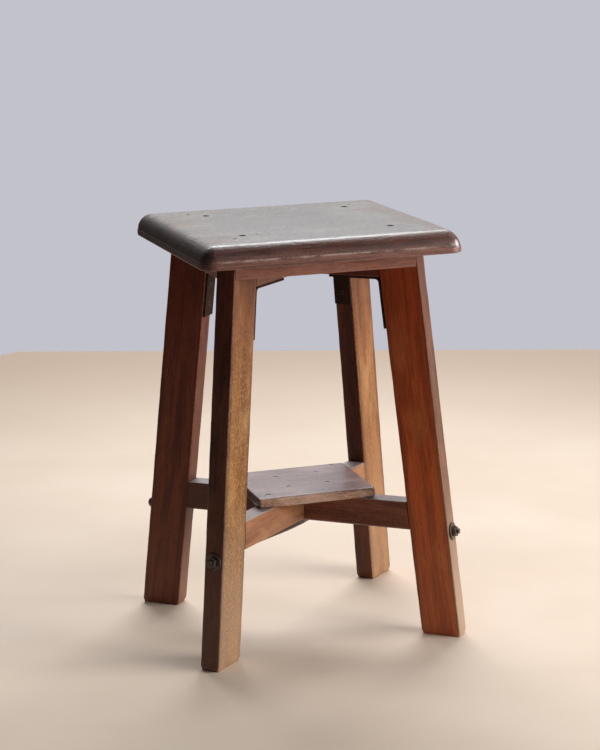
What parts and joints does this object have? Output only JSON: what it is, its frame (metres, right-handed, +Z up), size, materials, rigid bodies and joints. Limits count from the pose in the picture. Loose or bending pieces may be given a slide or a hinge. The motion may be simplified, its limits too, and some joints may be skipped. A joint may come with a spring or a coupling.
{
  "type": "wooden work stool",
  "caption": "Dark wooden stool with a rounded seat board on splayed diagonal legs, a small nailed shelf on crossed stretchers, iron angle brackets and tie rods.",
  "frame": {"origin": "on the floor under the middle of the seat, which is the bottom centre of the bounding box", "axes": "+Z up, +X to the right along the seat's longer front edge, +Y from the front edge to the back"},
  "size_m": [0.3087, 0.2724, 0.45],
  "materials": {
    "seat_wood": "dark stain under worn satin varnish",
    "leg_wood": "red-brown stained beech, satin, worn pale on the edges",
    "rail_wood": "brown stain, satin",
    "cross_wood": "brown stain, satin",
    "shelf_wood": "worn brown stain, dull",
    "bracket_iron": "blackened mild steel with slight rust",
    "rod_iron": "dulled dark steel",
    "screw_iron": "dark oxidised steel"
  },
  "bodies": {
    "root": {"bracket_back_left": "bracket_iron", "bracket_back_right": "bracket_iron", "bracket_front_left": "bracket_iron", "bracket_front_right": "bracket_iron", "bracket_screw_back_left_beam_1": "screw_iron", "bracket_screw_back_left_beam_2": "screw_iron", "bracket_screw_back_left_leg_1": "screw_iron", "bracket_screw_back_left_leg_2": "screw_iron", "bracket_screw_back_right_beam_1": "screw_iron", "bracket_screw_back_right_beam_2": "screw_iron", "bracket_screw_back_right_leg_1": "screw_iron", "bracket_screw_back_right_leg_2": "screw_iron", "bracket_screw_front_left_beam_1": "screw_iron", "bracket_screw_front_left_beam_2": "screw_iron", "bracket_screw_front_left_leg_1": "screw_iron", "bracket_screw_front_left_leg_2": "screw_iron", "bracket_screw_front_right_beam_1": "screw_iron", "bracket_screw_front_right_beam_2": "screw_iron", "bracket_screw_front_right_leg_1": "screw_iron", "bracket_screw_front_right_leg_2": "screw_iron", "leg_back_left": "leg_wood", "leg_back_right": "leg_wood", "leg_front_left": "leg_wood", "leg_front_right": "leg_wood", "lower_stretcher_a": "cross_wood", "lower_stretcher_b": "cross_wood", "nut_front_left": "rod_iron", "nut_front_right": "rod_iron", "rail_back": "rail_wood", "rail_front": "rail_wood", "rail_left": "rail_wood", "rail_right": "rail_wood", "rod_head_back_left": "rod_iron", "rod_head_back_right": "rod_iron", "seat_board": "seat_wood", "seat_screw_back_left": "screw_iron", "seat_screw_back_right": "screw_iron", "seat_screw_front_left": "screw_iron", "seat_screw_front_right": "screw_iron", "shelf_board": "shelf_wood", "shelf_nail_back_left_inner": "screw_iron", "shelf_nail_back_right_inner": "screw_iron", "shelf_nail_back_right_outer": "screw_iron", "shelf_nail_front_left_inner": "screw_iron", "shelf_nail_front_left_outer": "screw_iron", "shelf_nail_front_right_inner": "screw_iron", "tie_rod_a": "rod_iron", "tie_rod_b": "rod_iron", "upper_beam_a": "cross_wood", "upper_beam_b": "cross_wood", "washer_front_left": "rod_iron", "washer_front_right": "rod_iron"}
  },
  "joints": []
}
